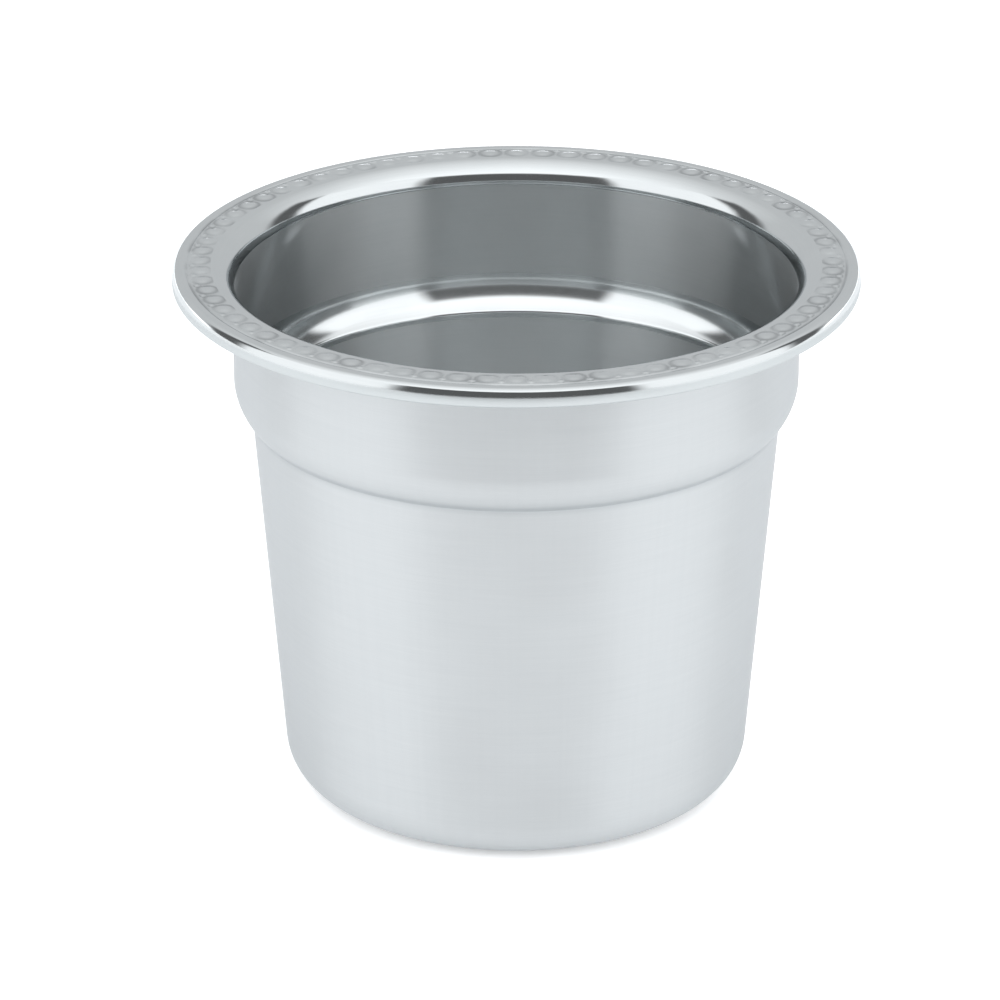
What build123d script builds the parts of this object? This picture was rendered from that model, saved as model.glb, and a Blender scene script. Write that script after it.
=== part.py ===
from build123d import *
import math
import os

# One-piece soup kettle: a stainless-steel inset drawn from a single sheet.
# It hangs by its flange in a round well, or stands by itself on its flat base.
# Millimetres, +Z up, origin at the centre of the base, on the surface it stands on.

# Overall
height = 259.0  # base to the top of the flange
sheet = 1.0  # thickness of the steel, the same all over

# Collar: the upright band that drops into the round opening of a warmer
collar_radius = 132.0  # outside of the band, for a 267 mm opening
mouth_bend = 9.5  # bend between the collar and the flange, on the underside

# Shoulder: the curve from the collar in to the crease, where the body begins
shoulder_drop = 55.0  # top of the flange to the start of the curve
shoulder_radius = 25.0  # outside of the curve
shoulder_turn = 46.5  # degrees that the curve turns before the crease turns it back
crease_bend = 2.0  # outside of the crease, on its hollow side

# Body: a gently tapered wall that turns into the flat base
body_taper = 4.8  # degrees that the wall leans out from upright
base_bend = 22.0  # outside of the corner between the wall and the base

# Flange and lip: the rim is turned down into a short skirt and curled into an open hem
flange_width = 28.0  # outside of the collar to the outside of the lip
lip_bend = 2.6  # outside of the bend at the edge of the flange
lip_turn = 66.0  # degrees that the bend turns
skirt_radius = 11.0  # outside of the skirt, which is nearly straight
skirt_turn = 30.0  # degrees that the skirt turns from top to bottom
hem_radius = 2.0  # outside of the curl
hem_turn = 104.0  # degrees that the curl turns, up to the cut edge

# Places along the outside face of the sheet, worked out from the sizes above
flange_under = height - sheet
collar_top = flange_under - mouth_bend
collar_bottom = height - shoulder_drop
turned = math.radians(shoulder_turn)
lean = math.radians(body_taper)
crease_reach = shoulder_radius + crease_bend
crease_centre = (
    collar_radius - shoulder_radius + crease_reach * math.cos(turned),
    collar_bottom - crease_reach * math.sin(turned),
)
wall_top = (
    crease_centre[0] - crease_bend * math.cos(lean),
    crease_centre[1] + crease_bend * math.sin(lean),
)
foot_radius = wall_top[0] - wall_top[1] * math.tan(lean)
bend_centre = collar_radius + mouth_bend
lip_sine = math.sin(math.radians(lip_turn))
lip_reach = lip_bend * lip_sine + skirt_radius * (1 - lip_sine)
flange_end = collar_radius + flange_width - lip_reach

os.makedirs("parts", exist_ok=True)

# The outline follows the face that is outside when the sheet is drawn: under the base,
# up the wall, over the shoulder, up the collar, out under the flange and round the
# hollow of the lip. The sheet's other face is one thickness above or inside it.
with BuildPart() as kettle_shell:
    with BuildSketch(Plane.XZ):
        with BuildLine():
            FilletPolyline((0, 0), (foot_radius, 0), wall_top, radius=base_bend)
            CenterArc(
                crease_centre,
                crease_bend,
                180 - body_taper,
                body_taper - shoulder_turn,
            )
            CenterArc(
                (collar_radius - shoulder_radius, collar_bottom),
                shoulder_radius,
                -shoulder_turn,
                shoulder_turn,
            )
            Line((collar_radius, collar_bottom), (collar_radius, collar_top))
            CenterArc((bend_centre, collar_top), mouth_bend, 180, -90)
            flange = Line((bend_centre, flange_under), (flange_end, flange_under))
            lip = JernArc(flange @ 1, flange % 1, lip_bend - sheet, -lip_turn)
            skirt = JernArc(lip @ 1, lip % 1, skirt_radius - sheet, -skirt_turn)
            JernArc(skirt @ 1, skirt % 1, hem_radius - sheet, -hem_turn)
            offset(amount=sheet, side=Side.LEFT)
        make_face()
    revolve(axis=Axis.Z)

kettle_shell.part.label = "kettle_shell"
export_step(kettle_shell.part, "parts/kettle_shell.step")
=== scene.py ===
# %% [markdown]
# # A soup kettle pressed from one sheet of steel
#
# The real kettle is a single disc of stainless steel that a press has drawn into a
# deep vessel. It has no seams, rivets or handles, so everything that makes it look
# real is in three things: the exact curve of its section, the ring of ornament that
# is stamped into its flange, and the way satin and polished steel mirror a studio.
#
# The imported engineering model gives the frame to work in. It is loaded first and is
# never moved or reshaped.

import math

import bpy
import numpy as np
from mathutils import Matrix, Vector


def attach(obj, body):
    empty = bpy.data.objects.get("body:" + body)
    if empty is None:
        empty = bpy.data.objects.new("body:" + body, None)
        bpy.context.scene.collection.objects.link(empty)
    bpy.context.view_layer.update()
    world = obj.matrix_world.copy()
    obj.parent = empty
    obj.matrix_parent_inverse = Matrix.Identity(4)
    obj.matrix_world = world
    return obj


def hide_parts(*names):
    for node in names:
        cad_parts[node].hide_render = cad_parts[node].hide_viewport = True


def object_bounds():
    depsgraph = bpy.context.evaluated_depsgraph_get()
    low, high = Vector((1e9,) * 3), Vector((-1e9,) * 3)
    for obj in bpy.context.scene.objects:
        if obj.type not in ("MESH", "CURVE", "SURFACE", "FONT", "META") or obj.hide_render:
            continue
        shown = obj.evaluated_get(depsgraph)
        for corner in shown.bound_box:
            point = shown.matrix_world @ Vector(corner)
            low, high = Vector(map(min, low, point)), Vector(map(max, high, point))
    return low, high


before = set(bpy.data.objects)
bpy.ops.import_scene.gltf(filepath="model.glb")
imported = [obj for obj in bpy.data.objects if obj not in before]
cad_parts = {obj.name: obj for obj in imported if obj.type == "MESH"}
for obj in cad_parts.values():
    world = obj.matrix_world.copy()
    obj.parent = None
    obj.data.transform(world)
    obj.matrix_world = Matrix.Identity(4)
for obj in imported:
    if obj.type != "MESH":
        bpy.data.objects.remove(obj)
cad_low, cad_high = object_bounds()
print("CAD box", [round(v, 4) for v in (*cad_low, *cad_high)])

# %% [markdown]
# ## Sizes
#
# The height and the width come from the frame, so the visible kettle can't drift
# away from the engineering model. The bends that lie between them aren't in the
# frame's box, so they are named here, in metres, with the same values as the model.

# %% Named sizes
height = cad_high.z
flange_radius = cad_high.x
sheet = 0.001
collar_radius = flange_radius - 0.028
mouth_bend = 0.0095
shoulder_drop = 0.055
shoulder_radius = 0.025
shoulder_turn = 46.5
crease_bend = 0.002
body_taper = 4.8
base_bend = 0.022
lip_bend = 0.0026
lip_turn = 66.0
skirt_radius = 0.011
skirt_turn = 30.0
hem_radius = 0.0020
hem_turn = 104.0
print("collar", collar_radius, "flange", flange_radius, "height", height)

# %% [markdown]
# ## A pen that walks along the section
#
# A pressed vessel is the same section swept round an axis. The section could be
# typed in as a long list of points, but that hides how it is made. A pen that knows
# only two moves, straight on and bend, follows the sheet as a press tool does: each
# bend has a radius and an angle, and meets its neighbours without a corner.
#
# The pen also keeps its heading. The surface's normal is always at right angles to
# it, so every ring of the mesh gets an exact normal, and mirror-bright steel shows
# none of the faint bands that averaged normals leave.

# %% The pen
class Pen:
    """Walks in the plane of radius and height, and keeps every point it marks."""

    def __init__(self):
        self.r = 0.0
        self.z = 0.0
        self.heading = 0.0
        self.rings = []

    def mark(self):
        """Keeps the point with the direction in which the surface faces there."""
        out = math.radians(self.heading - 90)
        self.rings.append((self.r, self.z, math.cos(out), math.sin(out)))

    def straight(self, length, steps):
        """Goes straight on, marking the end of each step."""
        way = math.radians(self.heading)
        for _ in range(steps):
            self.r += length / steps * math.cos(way)
            self.z += length / steps * math.sin(way)
            self.mark()

    def bend(self, radius, turn, step=6.0):
        """Turns by degrees, to the left if turn is positive, on an arc of the radius."""
        side = math.copysign(1.0, turn)
        steps = math.ceil(abs(turn) / step)
        to_centre = math.radians(self.heading + 90 * side)
        centre_r = self.r + radius * math.cos(to_centre)
        centre_z = self.z + radius * math.sin(to_centre)
        for _ in range(steps):
            self.heading += turn / steps
            away = math.radians(self.heading - 90 * side)
            self.r = centre_r + radius * math.cos(away)
            self.z = centre_z + radius * math.sin(away)
            self.mark()


# %% [markdown]
# ## The sheet's path
#
# The moves start at the centre of the base, under the sheet, and end in the hem that
# is rolled under the flange. Three straight lengths are worked out from the sizes
# above: the flat of the base, the leaning wall and the upright collar.

# %% Straight lengths between the bends
turned = math.radians(shoulder_turn)
lean = math.radians(body_taper)
crease_reach = shoulder_radius + crease_bend
crease_r = collar_radius - shoulder_radius + crease_reach * math.cos(turned)
crease_z = height - shoulder_drop - crease_reach * math.sin(turned)
wall_top_r = crease_r - crease_bend * math.cos(lean)
wall_top_z = crease_z + crease_bend * math.sin(lean)
foot_r = wall_top_r - wall_top_z * math.tan(lean)
foot_corner = base_bend * math.tan(math.radians(90 - body_taper) / 2)
base_flat = foot_r - foot_corner
wall_length = wall_top_z / math.cos(lean) - foot_corner
collar_length = shoulder_drop - sheet - mouth_bend
lip_sine = math.sin(math.radians(lip_turn))
lip_reach = lip_bend * lip_sine + skirt_radius * (1 - lip_sine)
flange_flat = flange_radius - lip_reach - collar_radius - mouth_bend
print(f"base {base_flat:.4f} wall {wall_length:.4f} collar {collar_length:.4f}")

# %% [markdown]
# ## The stamped border
#
# A plain flange would be right in size and wrong in character. The border is a ring
# of small raised petals with a bead between each two, inside a fine groove. It could
# be painted on with a bump map, but a stamp really moves the metal, on both faces of
# the sheet at once, so here it is a height that is added to the vertices themselves.
#
# Each shape has a place, out from where the border starts, and a reach on either
# side of it, both in metres. Its share is how far it reaches round the ring, as a
# part of the distance from one petal to the next.

# %% The border's height at any place on the flange
repeats = 72
border_start = collar_radius + mouth_bend + 0.0004
border_end = border_start + 0.0122
petal_height = 0.0007
petal_at = 0.0048
petal_reach = 0.0046
petal_share = 0.40
bead_height = 0.0005
bead_at = 0.0082
bead_reach = 0.0017
bead_share = 0.17
groove_depth = 0.0005
groove_at = 0.0112
groove_reach = 0.0006


def stamp(r, angle):
    """The petals, the beads and the groove, each one at its middle and falling off."""
    along = angle * repeats / (2 * math.pi)
    petal_u = (along - np.round(along)) / petal_share
    petal_v = (r - border_start - petal_at) / petal_reach
    bead_u = (along - np.floor(along) - 0.5) / bead_share
    bead_v = (r - border_start - bead_at) / bead_reach
    groove = np.exp(-(((r - border_start - groove_at) / groove_reach) ** 2))
    return 1 - petal_u**2 - petal_v**2, 1 - bead_u**2 - bead_v**2, groove


def border(r, angle):
    """How far the stamp lifts the sheet, in metres."""
    petal, bead, groove = stamp(r, angle)
    petal = np.clip(petal, 0, 1) ** 1.5
    bead = np.clip(bead, 0, 1) ** 1.5
    return petal_height * petal + bead_height * bead - groove_depth * groove


def hollow(r, angle):
    """One in the corners round the petals and beads and in the groove, else less."""
    petal, bead, groove = stamp(r, angle)
    round_petal = np.exp(-((petal / 0.45) ** 2))
    round_bead = np.exp(-((bead / 0.40) ** 2))
    return np.maximum(np.maximum(round_petal, round_bead), groove)


print("petal pitch", round(2 * math.pi * (border_start + 0.005) / repeats * 1000, 2), "mm")

# %% [markdown]
# ## Walk the section, out along one face and back along the other
#
# The sheet is solid metal, so its mesh is closed. The pen walks out under the base,
# up the outside and into the hem, turns round the sheet's cut edge, and comes back
# along the polished face. On the way back every bend turns the other way, and has
# the sheet's thickness added or taken off, which keeps the metal equally thick.

# %% Walk the section
border_lead = border_start - collar_radius - mouth_bend
border_width = border_end - border_start
flange_rest = flange_flat - border_lead - border_width
moves = [
    ("straight", base_flat, 4),
    ("bend", base_bend, 90 - body_taper),
    ("straight", wall_length, 6),
    ("bend", crease_bend, body_taper - shoulder_turn),
    ("bend", shoulder_radius, shoulder_turn),
    ("straight", collar_length, 2),
    ("bend", mouth_bend, -90),
    ("straight", border_lead / 2, 1),
    ("straight", border_lead / 2, 1),
    ("straight", border_width, 20),
    ("straight", flange_rest, 2),
    ("bend", lip_bend - sheet, -lip_turn),
    ("bend", skirt_radius - sheet, -skirt_turn),
    ("bend", hem_radius - sheet, -hem_turn),
]
pen = Pen()
for kind, size, amount in moves:
    if kind == "straight":
        pen.straight(size, amount)
    else:
        pen.bend(size, amount)
outside_count = len(pen.rings)
pen.bend(sheet / 2, 180, step=30.0)
for kind, size, amount in reversed(moves):
    if kind == "straight":
        pen.straight(size, amount)
    else:
        pen.bend(size - math.copysign(sheet, amount), -amount)
section = np.array(pen.rings[:-1])
print(len(section), "rings, the pen ends at r", round(pen.r, 6), "z", round(pen.z, 6))

# %% [markdown]
# ## Sweep the section round the axis
#
# A Screw or Spin modifier could sweep it, but then every ring would have the same
# number of points. The stamped rings need twelve points for each petal, and the
# plain ones look perfectly round with a third of that. So the rings are made here,
# and where a plain ring meets a fine one, one face takes three of the fine edges.

# %% Points and normals of every ring
fine_count = repeats * 12
plain_count = fine_count // 3
lies_flat = np.abs(section[:, 3]) > 0.999
is_stamped = (section[:, 0] > border_start - 1e-6) & (section[:, 0] < border_end + 1e-6)
is_fine = lies_flat & is_stamped
nudge = 1e-5


def ring(r, z, out_r, out_z, fine):
    """The points of one ring, and the way the surface faces at each."""
    angle = np.arange(fine_count if fine else plain_count)
    angle = angle * 2 * math.pi / len(angle)
    slope_r = (border(r + nudge, angle) - border(r - nudge, angle)) / (2 * nudge)
    slope_a = (border(r, angle + nudge) - border(r, angle - nudge)) / (2 * nudge * r)
    lean_r = out_r - out_z * slope_r * fine
    lean_a = -out_z * slope_a * fine
    cos, sin = np.cos(angle), np.sin(angle)
    place = [r * cos, r * sin, z + border(r, angle) * fine]
    faces_to = [lean_r * cos - lean_a * sin, lean_r * sin + lean_a * cos, out_z + 0 * cos]
    return np.stack(place, axis=1), np.stack(faces_to, axis=1)


rings = [ring(*row, fine) for row, fine in zip(section, is_fine)]
counts = [len(place) for place, _ in rings]
starts = [1 + sum(counts[:i]) for i in range(len(counts))]
points = np.concatenate([[[0, 0, 0]], *[place for place, _ in rings], [[0, 0, sheet]]])
normals = np.concatenate([[[0, 0, -1]], *[way for _, way in rings], [[0, 0, 1]]])
normals /= np.linalg.norm(normals, axis=1, keepdims=True)
print(len(points), "points on", len(rings), "rings")

# %% [markdown]
# ## Painted shade and duller metal in the stamp's corners
#
# The corners round the petals are painted darker than the metal beside them, as
# painted shade, and are left a little rougher. The shader can't see the mesh's shape, so each
# point is given a number that says how deep in such a corner it lies. It is kept until the mesh
# is made.

# %% How deep in the stamp's corners each point lies
depths = []
for row, count, fine in zip(section, counts, is_fine):
    angle = np.arange(count) * 2 * math.pi / count
    depths.append(hollow(row[0], angle) * fine)
depths = np.concatenate([[0], *depths, [0]])
print("points in the stamp's corners:", int((depths > 0.5).sum()))

# %% [markdown]
# ## Join the rings
#
# Each ring is joined to the next by a band of faces, and a fan of triangles closes
# the sheet at the axis, once under the base and once inside. The faces up to the
# cut edge are counted, because they are the outside and get another finish.

# %% Faces between the rings
last = len(points) - 1


def band(i):
    """Faces from ring i to the next, one for each edge of the coarser of the two."""
    here, there = counts[i], counts[i + 1]
    shared = min(here, there)
    for k in range(shared):
        near = range(k * here // shared, (k + 1) * here // shared + 1)
        far = range(k * there // shared, (k + 1) * there // shared + 1)
        yield [starts[i] + j % here for j in near] + [
            starts[i + 1] + j % there for j in reversed(far)
        ]


faces = [[0, starts[0] + (k + 1) % counts[0], starts[0] + k] for k in range(counts[0])]
for i in range(len(rings) - 1):
    if i == outside_count:
        outside_faces = len(faces)
    faces += band(i)
faces += [
    [last, starts[-1] + k, starts[-1] + (k + 1) % counts[-1]] for k in range(counts[-1])
]
print(len(faces), "faces,", sum(len(face) - 2 for face in faces), "triangles")

# %% [markdown]
# ## The kettle as one object
#
# The mesh gets its smooth faces, the exact normals from the pen and the numbers for
# the corners. It then rides on the frame's body and stands for its shell, which
# stays hidden in its place.

# %% The kettle itself
mesh = bpy.data.meshes.new("kettle")
mesh.from_pydata(points.tolist(), [], faces)
mesh.polygons.foreach_set("use_smooth", [True] * len(faces))
mesh.normals_split_custom_set_from_vertices(normals.tolist())
mesh.attributes.new("hollow", "FLOAT", "POINT").data.foreach_set("value", depths)
kettle = bpy.data.objects.new("kettle", mesh)
bpy.context.scene.collection.objects.link(kettle)
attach(kettle, "root")
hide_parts("kettle_shell")
print("kettle", [round(v * 1000, 1) for v in kettle.dimensions], "mm")

# %% [markdown]
# ## Shader maths
#
# Steel's look is worked out from a few patterns, and each is a sum or a product of
# simpler ones. Wired up by hand that is a large web of Math nodes. This small class
# wraps one output of a node, so a pattern is written as an ordinary sum and the
# nodes are added as Python works it out.

# %% The class that wraps a socket
class Wire:
    """One output of a node. Sums on it add Math nodes."""

    def __init__(self, tree, socket=None):
        self.tree = tree
        self.socket = socket

    def node(self, kind, settings, inputs, output=0):
        """Adds a node: its settings first, then its inputs, as values or wires."""
        made = self.tree.nodes.new(kind)
        for name, value in settings.items():
            setattr(made, name, value)
        for name, value in inputs.items():
            if isinstance(value, Wire):
                self.tree.links.new(value.socket, made.inputs[name])
            else:
                made.inputs[name].default_value = value
        return Wire(self.tree, made.outputs[output])

    def math(self, operation, *values):
        """A Math node."""
        return self.node("ShaderNodeMath", {"operation": operation}, dict(enumerate(values)))

    def __add__(self, other):
        return self.math("ADD", self, other)

    def __sub__(self, other):
        return self.math("SUBTRACT", self, other)

    def __rsub__(self, other):
        return self.math("SUBTRACT", other, self)

    def __mul__(self, other):
        return self.math("MULTIPLY", self, other)

    def __truediv__(self, other):
        return self.math("DIVIDE", self, other)

    __radd__ = __add__
    __rmul__ = __mul__


# %% [markdown]
# ## Places on a turned surface
#
# A pattern that is wrapped on with a UV map has a seam somewhere. The marks on spun
# metal have none, so every pattern here starts from where a point is in the round:
# its direction from the axis, as a cosine and a sine, and one length that grows all
# the way along the section. A noise that changes fast along that length and slowly
# with the direction is a set of fine rings, which is what a lathe leaves.

# %% Coordinates round the axis and along the section
def turned_place(tree):
    """The cosine and sine of the direction, and the length along the section."""
    start = Wire(tree)
    where = start.node("ShaderNodeTexCoord", {}, {}, "Object")
    split = [start.node("ShaderNodeSeparateXYZ", {}, {0: where}, axis) for axis in "XYZ"]
    x, y, z = split
    r = start.math("SQRT", x * x + y * y)
    safe_r = start.math("MAXIMUM", r, 1e-4)
    return x / safe_r, y / safe_r, r + z


def noise(cos, sin, along, round_scale, along_scale, detail=3.0, shift=0.0):
    """Noise with its own grain round the axis and along the section, about 0 to 1."""
    grain = cos.node(
        "ShaderNodeCombineXYZ",
        {},
        {"X": cos * round_scale, "Y": sin * round_scale, "Z": along * along_scale + shift},
    )
    return cos.node("ShaderNodeTexNoise", {}, {"Vector": grain, "Scale": 1.0, "Detail": detail})


def height_of(tree):
    """How high a point is above the base."""
    start = Wire(tree)
    where = start.node("ShaderNodeTexCoord", {}, {}, "Object")
    return start.node("ShaderNodeSeparateXYZ", {}, {0: where}, "Z")


def between(value, low, high, soft):
    """One where the value is from low to high, fading to nothing over the soft width."""
    settings = {"interpolation_type": "SMOOTHSTEP"}
    rise = value.node(
        "ShaderNodeMapRange", settings, {0: value, 1: low - soft, 2: low + soft, 3: 0.0, 4: 1.0}
    )
    fall = value.node(
        "ShaderNodeMapRange", settings, {0: value, 1: high - soft, 2: high + soft, 3: 1.0, 4: 0.0}
    )
    return rise * fall


# %% [markdown]
# ## Small helpers for steel
#
# The three finishes below start alike: an empty material that is all metal, and a
# colour that goes from a darker steel to a lighter one wherever a mask says so. They
# also end alike, with a colour, a roughness and a relief wired to the shader.

# %% A new steel, a colour that follows a mask, and the wiring
def new_steel(name):
    """An empty material, its tree, its shader node and where to write colours."""
    material = bpy.data.materials.new(name)
    material.use_nodes = True
    tree = material.node_tree
    shader = tree.nodes["Principled BSDF"]
    shader.inputs["Metallic"].default_value = 1.0
    return material, tree, shader


def tinted(mask, low, high):
    """A colour that goes from one to another with a mask. Each is numbers or a wire."""
    ends = [end if isinstance(end, Wire) else (*end, 1) for end in (low, high)]
    return mask.node(
        "ShaderNodeMix", {"data_type": "RGBA"}, {0: mask, 6: ends[0], 7: ends[1]}, output=2
    )


def dress(tree, shader, colour, rough, relief):
    """Gives a steel its colour, its roughness and the bump of its relief in metres."""
    settings = {"Height": relief, "Strength": 1.0, "Distance": 1.0}
    bumped = relief.node("ShaderNodeBump", {}, settings)
    tree.links.new(colour.socket, shader.inputs["Base Color"])
    tree.links.new(rough.socket, shader.inputs["Roughness"])
    tree.links.new(bumped.socket, shader.inputs["Normal"])
    return bumped


# %% [markdown]
# ## The satin outside
#
# The outside is finished with a fine belt while the kettle turns, so it mirrors the
# room only as soft areas of light. Three things make that look real. The highlight
# is drawn out across the belt's lines, which is what the Anisotropic value does. The
# lines themselves change the roughness a little from ring to ring. And the wall is
# never quite true, so a very low, wide bump bends the reflections here and there.
#
# The steel is painted a little darker in a thin line along the crease under the shoulder, as
# painted shade.
# Specular Tint lowers how much the edges of the body shine.

# %% Satin steel
satin, tree, shader = new_steel("satin_steel")
cos, sin, along = turned_place(tree)
belt_lines = noise(cos, sin, along, 5.0, 2600.0, 4.0)
belt_bands = noise(cos, sin, along, 2.2, 420.0, 2.0, shift=7.0)
draw_marks = noise(cos, sin, along, 42.0, 6.0, 3.0, shift=3.0)
smudges = noise(cos, sin, along, 3.4, 22.0, 4.0, shift=11.0)
waves = noise(cos, sin, along, 2.6, 12.0, 1.0, shift=5.0)
satin_mix = belt_lines * 0.45 + belt_bands * 0.2 + draw_marks * 0.2 + smudges * 0.15
# painted shade: a thin darker line of colour along the crease under the shoulder
painted_crease_shade = between(height_of(tree), crease_z - 0.0002, crease_z + 0.0034, 0.0022)
satin_mix = satin_mix - painted_crease_shade * 0.75
satin_colour = tinted(satin_mix, (0.50, 0.525, 0.54), (0.62, 0.64, 0.65))
satin_rough = 0.31 + belt_lines * 0.07 + smudges * 0.09 + draw_marks * 0.04
relief = waves * 0.00010 + belt_lines * 0.0000012 + draw_marks * 0.0000035
dress(tree, shader, satin_colour, satin_rough, relief)
shader.inputs["Anisotropic"].default_value = 0.8
shader.inputs["Anisotropic Rotation"].default_value = 0.25
shader.inputs["Specular Tint"].default_value = (0.74, 0.75, 0.76, 1)
print("satin steel:", len(tree.nodes), "nodes")

# %% [markdown]
# ## The polished flange and lip
#
# The flange, the lip and the mouth are buffed almost to a mirror. A buffed sheet
# isn't a perfect mirror: it keeps faint rings from the buffing wheel, a slight haze
# where it has been wiped, and shallow waves that break up straight reflections.
#
# The lower part of the lip's skirt is left as satin as the body. Its mask needs a
# height and also a distance out along the section, because the rounded edge of the
# mouth lies at the same height. A soft wheel also passes over the corners of the
# stamp, so they stay duller, and in patches they are painted darker, as painted shade.
# The mesh knows where they are, and an attribute on its points tells the shader.

# %% The marks that a polishing wheel leaves
def wheel_marks(cos, sin, along):
    """Fine rings, a slight haze and shallow waves."""
    buff_rings = noise(cos, sin, along, 4.0, 900.0, 3.0, shift=2.0)
    wiped_haze = noise(cos, sin, along, 4.6, 30.0, 5.0, shift=9.0)
    ripples = noise(cos, sin, along, 9.0, 34.0, 2.0, shift=4.0)
    return buff_rings, wiped_haze, ripples


# %% Polished steel
polished, tree, shader = new_steel("polished_steel")
cos, sin, along = turned_place(tree)
buff_rings, wiped_haze, ripples = wheel_marks(cos, sin, along)
polish_mix = buff_rings * 0.4 + wiped_haze * 0.6
lip_satin = between(height_of(tree), height - 0.0200, height - 0.0040, 0.0010)
lip_satin = lip_satin * between(along - height_of(tree), border_end, 1.0, 0.0010)
polish_mix = polish_mix - lip_satin * 0.9
polish_colour = tinted(polish_mix, (0.55, 0.58, 0.59), (0.66, 0.68, 0.685))
# painted shade: in noisy patches the stamp's corners get a dark colour; their extra roughness
# below is real dullness
corner_shade_and_dullness = cos.node("ShaderNodeAttribute", {"attribute_name": "hollow"}, {}, "Fac")
marks = between(noise(cos, sin, along, 7.0, 40.0, 2.0, shift=13.0), 0.5, 2.0, 0.16) * 0.6
polish_colour = tinted(corner_shade_and_dullness * marks, polish_colour, (0.20, 0.21, 0.215))
polish_rough = 0.05 + buff_rings * 0.03 + wiped_haze * 0.07 + lip_satin * 0.36
polish_rough = polish_rough + corner_shade_and_dullness * 0.15
relief = ripples * 0.00006 + buff_rings * 0.0000008
dress(tree, shader, polish_colour, polish_rough, relief)
shader.inputs["Specular Tint"].default_value = (0.82, 0.83, 0.84, 1)
print("polished steel:", len(tree.nodes), "nodes")

# %% [markdown]
# ## The spun inside
#
# Inside, the wall is polished while the kettle spins, so each tiny scratch runs
# round it. Such scratches spread a reflection up and down and leave it sharper from
# side to side. A rough shader alone gives only a grey blur and a smooth one comes
# out too dark, so two are mixed: mostly the spread one, with a share of a clearer one.
# The ledge at the shoulder is clearer still, so that it catches a crisp bright line.

# %% Spun steel
neck_low = crease_z - 0.001
neck_high = height - shoulder_drop - 0.002
spun, tree, shader = new_steel("spun_steel")
cos, sin, along = turned_place(tree)
buff_rings, wiped_haze, ripples = wheel_marks(cos, sin, along)
spun_mix = buff_rings * 0.4 + wiped_haze * 0.6
spun_colour = tinted(spun_mix, (0.62, 0.65, 0.66), (0.74, 0.76, 0.765))
z = height_of(tree)
wall_only = 1 - between(z, neck_low, neck_high, 0.0022)
spun_rough = 0.09 + wall_only * 0.23 + buff_rings * 0.03 + wiped_haze * 0.03
relief = ripples * 0.00004 + buff_rings * 0.0000008
bumped = dress(tree, shader, spun_colour, spun_rough, relief)
shader.inputs["Anisotropic"].default_value = 1.0
shader.inputs["Anisotropic Rotation"].default_value = 0.25
bright = z.node(
    "ShaderNodeBsdfPrincipled",
    {},
    {"Base Color": spun_colour, "Metallic": 1.0, "Roughness": 0.10, "Normal": bumped},
)
clear_share = 0.35
spun_shader = Wire(tree, shader.outputs["BSDF"])
both = z.node("ShaderNodeMixShader", {}, {0: clear_share, 1: spun_shader, 2: bright})
tree.links.new(both.socket, tree.nodes["Material Output"].inputs["Surface"])
print("spun steel:", len(tree.nodes), "nodes")

# %% [markdown]
# ## Hand out the finishes
#
# Every face has a number that picks one of the mesh's materials. The order in which
# the faces were made says which are outside, and of the rest, those nearer the axis
# than the collar are the spun inside.

# %% Each face gets its finish
mesh.materials.append(satin)
mesh.materials.append(polished)
mesh.materials.append(spun)
finish_of = np.ones(len(faces), dtype=np.int32)
finish_of[:outside_faces] = 0
centres = np.array([face.center[:] for face in mesh.polygons])
reach_out = np.hypot(centres[:, 0], centres[:, 1])
collar_inside = collar_radius - sheet + nudge
is_inner = (np.arange(len(faces)) >= outside_faces) & (reach_out < collar_inside)
finish_of[is_inner] = 2
mesh.polygons.foreach_set("material_index", finish_of)
mesh.update()
print("satin, polished and spun faces:", np.bincount(finish_of).tolist())

# %% [markdown]
# ## The floor
#
# The kettle stands on a sweep of white paper that is lit until it is almost pure
# white. Part of its brightness is its own, as an emission, which keeps it evenly
# white as far as it reaches. A surface that glows can't be darkened by what stands
# on it, so the glow is turned down under the base and just past it. That leaves a
# thin shadow where the kettle rests. Polished steel takes much of its colour from this floor.

# %% White paper
paper = bpy.data.materials.new("white_paper")
paper.use_nodes = True
tree = paper.node_tree
shader = tree.nodes["Principled BSDF"]
start = Wire(tree)
where = start.node("ShaderNodeTexCoord", {}, {}, "Object")
fibre = start.node("ShaderNodeTexNoise", {}, {"Vector": where, "Scale": 60.0, "Detail": 3.0})
white = tinted(fibre, (0.78, 0.785, 0.79), (0.82, 0.825, 0.83))
tree.links.new(white.socket, shader.inputs["Base Color"])
shader.inputs["Roughness"].default_value = 0.9
shader.inputs["Specular IOR Level"].default_value = 0.1
split = [start.node("ShaderNodeSeparateXYZ", {}, {0: where}, axis) for axis in "XY"]
from_axis = start.math("SQRT", split[0] * split[0] + split[1] * split[1])
lit = between(from_axis, base_flat + 0.010, 100.0, 0.010)
glow = tinted(lit, (0.4, 0.4, 0.4), (1, 1, 1))
tree.links.new(glow.socket, shader.inputs["Emission Color"])
shader.inputs["Emission Strength"].default_value = 0.60

floor_mesh = bpy.data.meshes.new("floor")
reach = 5.0
corners = [(-reach, -reach, 0), (reach, -reach, 0), (reach, reach, 0), (-reach, reach, 0)]
floor_mesh.from_pydata(corners, [], [(0, 1, 2, 3)])
floor_mesh.materials.append(paper)
floor = bpy.data.objects.new("floor", floor_mesh)
bpy.context.scene.collection.objects.link(floor)
print("floor", 2 * reach, "m across")

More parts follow.
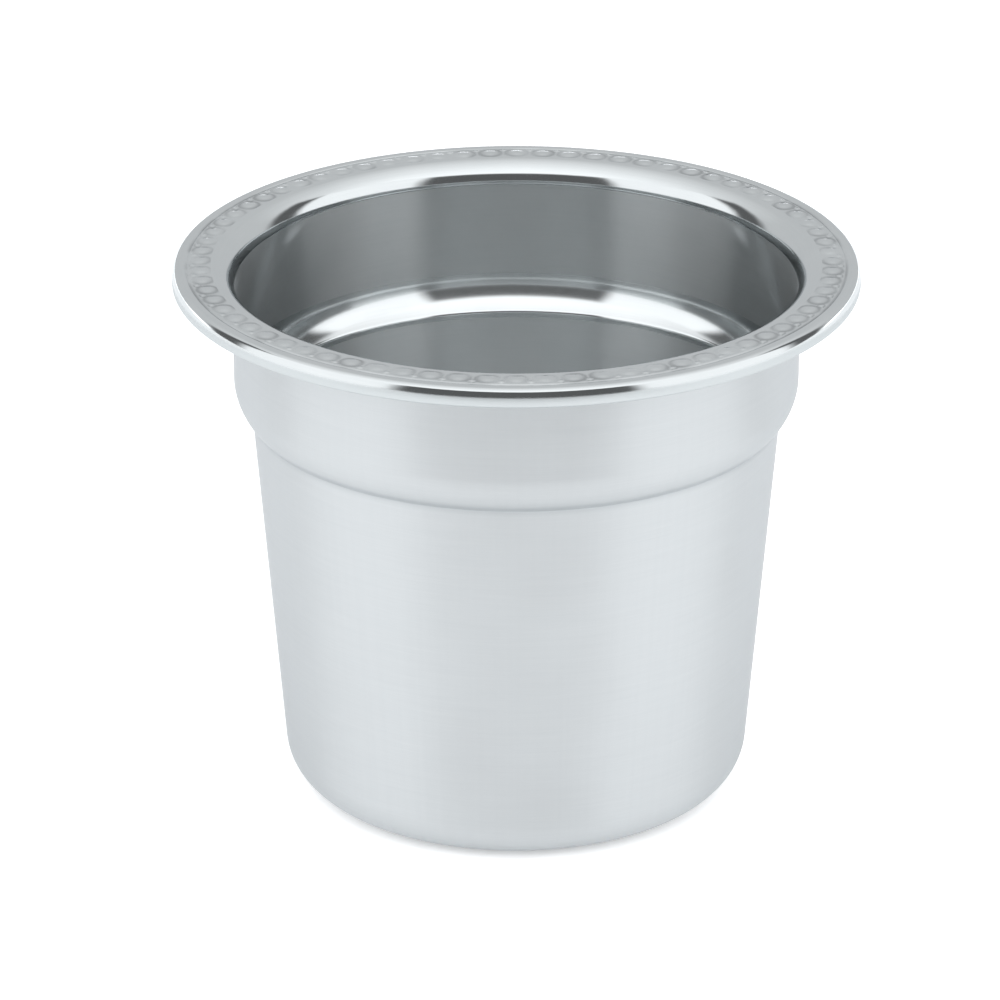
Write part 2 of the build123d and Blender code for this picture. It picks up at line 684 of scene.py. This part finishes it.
# %% [markdown]
# ## The studio
#
# Steel has no colour of its own to speak of: its picture is a picture of the room.
# The room here is a dim sky with soft panels on it, each given by the part of the
# sky that it covers. Area lamps would do as well, but they would need hiding from
# the camera and moving out of one another's way, and panels on the sky don't.
#
# Three angles say where a direction points: how far up it is, how far round from the
# front, and how far over the top from front to back. A ceiling that fades towards
# the back, a back wall and two boxes at the sides are each a mask on those angles.
# The front is left dim, because the dark lines in polished steel are its reflection.

# %% Directions in the sky
world = bpy.data.worlds.new("studio")
world.use_nodes = True
bpy.context.scene.world = world
tree = world.node_tree
background = tree.nodes["Background"]
start = Wire(tree)
toward = start.node("ShaderNodeTexCoord", {}, {}, "Generated")
x, y, z = [start.node("ShaderNodeSeparateXYZ", {}, {0: toward}, axis) for axis in "XYZ"]
degrees = 180 / math.pi
up = start.math("ARCSINE", z) * degrees
over = start.math("ARCTAN2", z, 0 - y) * degrees
front = start.math("ARCTAN2", x, 0 - y) * degrees

# %% Soft panels
off_front = start.math("ABSOLUTE", front)
ceiling = between(up, 39.0, 200.0, 3.0)
back_wall = between(off_front, 117.0, 200.0, 5.0)
ceiling_light = start.math("MAXIMUM", 1.86 - over * 0.0083, 0.66)
canopy = start.math("MAXIMUM", ceiling, back_wall) * ceiling_light
side_boxes = between(off_front, 40.0, 99.0, 4.0) * between(up, -90.0, 45.0, 6.0) * 1.30
sky = 0.15 + start.math("MAXIMUM", canopy, side_boxes)
tree.links.new(sky.socket, background.inputs["Strength"])
background.inputs["Color"].default_value = (0.98, 0.99, 1.0, 1)
print("sky:", len(tree.nodes), "nodes")

# %% [markdown]
# ## The camera
#
# A long lens from a little under three metres gives the calm, almost parallel view
# of a catalogue. The camera looks down by about twenty-three degrees, enough to see
# into the mouth and still see the whole side.

# %% The camera
camera_data = bpy.data.cameras.new("camera")
camera_data.lens = 217.0
camera_data.sensor_width = 36.0
camera_data.clip_end = 100.0
camera = bpy.data.objects.new("camera", camera_data)
camera.location = (0.0, -2.615, 1.2577)
aim = Vector((-0.0076, 0.0, 0.1382))
camera.rotation_euler = (aim - camera.location).to_track_quat("-Z", "Y").to_euler()
bpy.context.scene.collection.objects.link(camera)
bpy.context.scene.camera = camera
bpy.context.scene.view_settings.view_transform = "Standard"
print("camera", round((aim - camera.location).length, 3), "m from its aim")
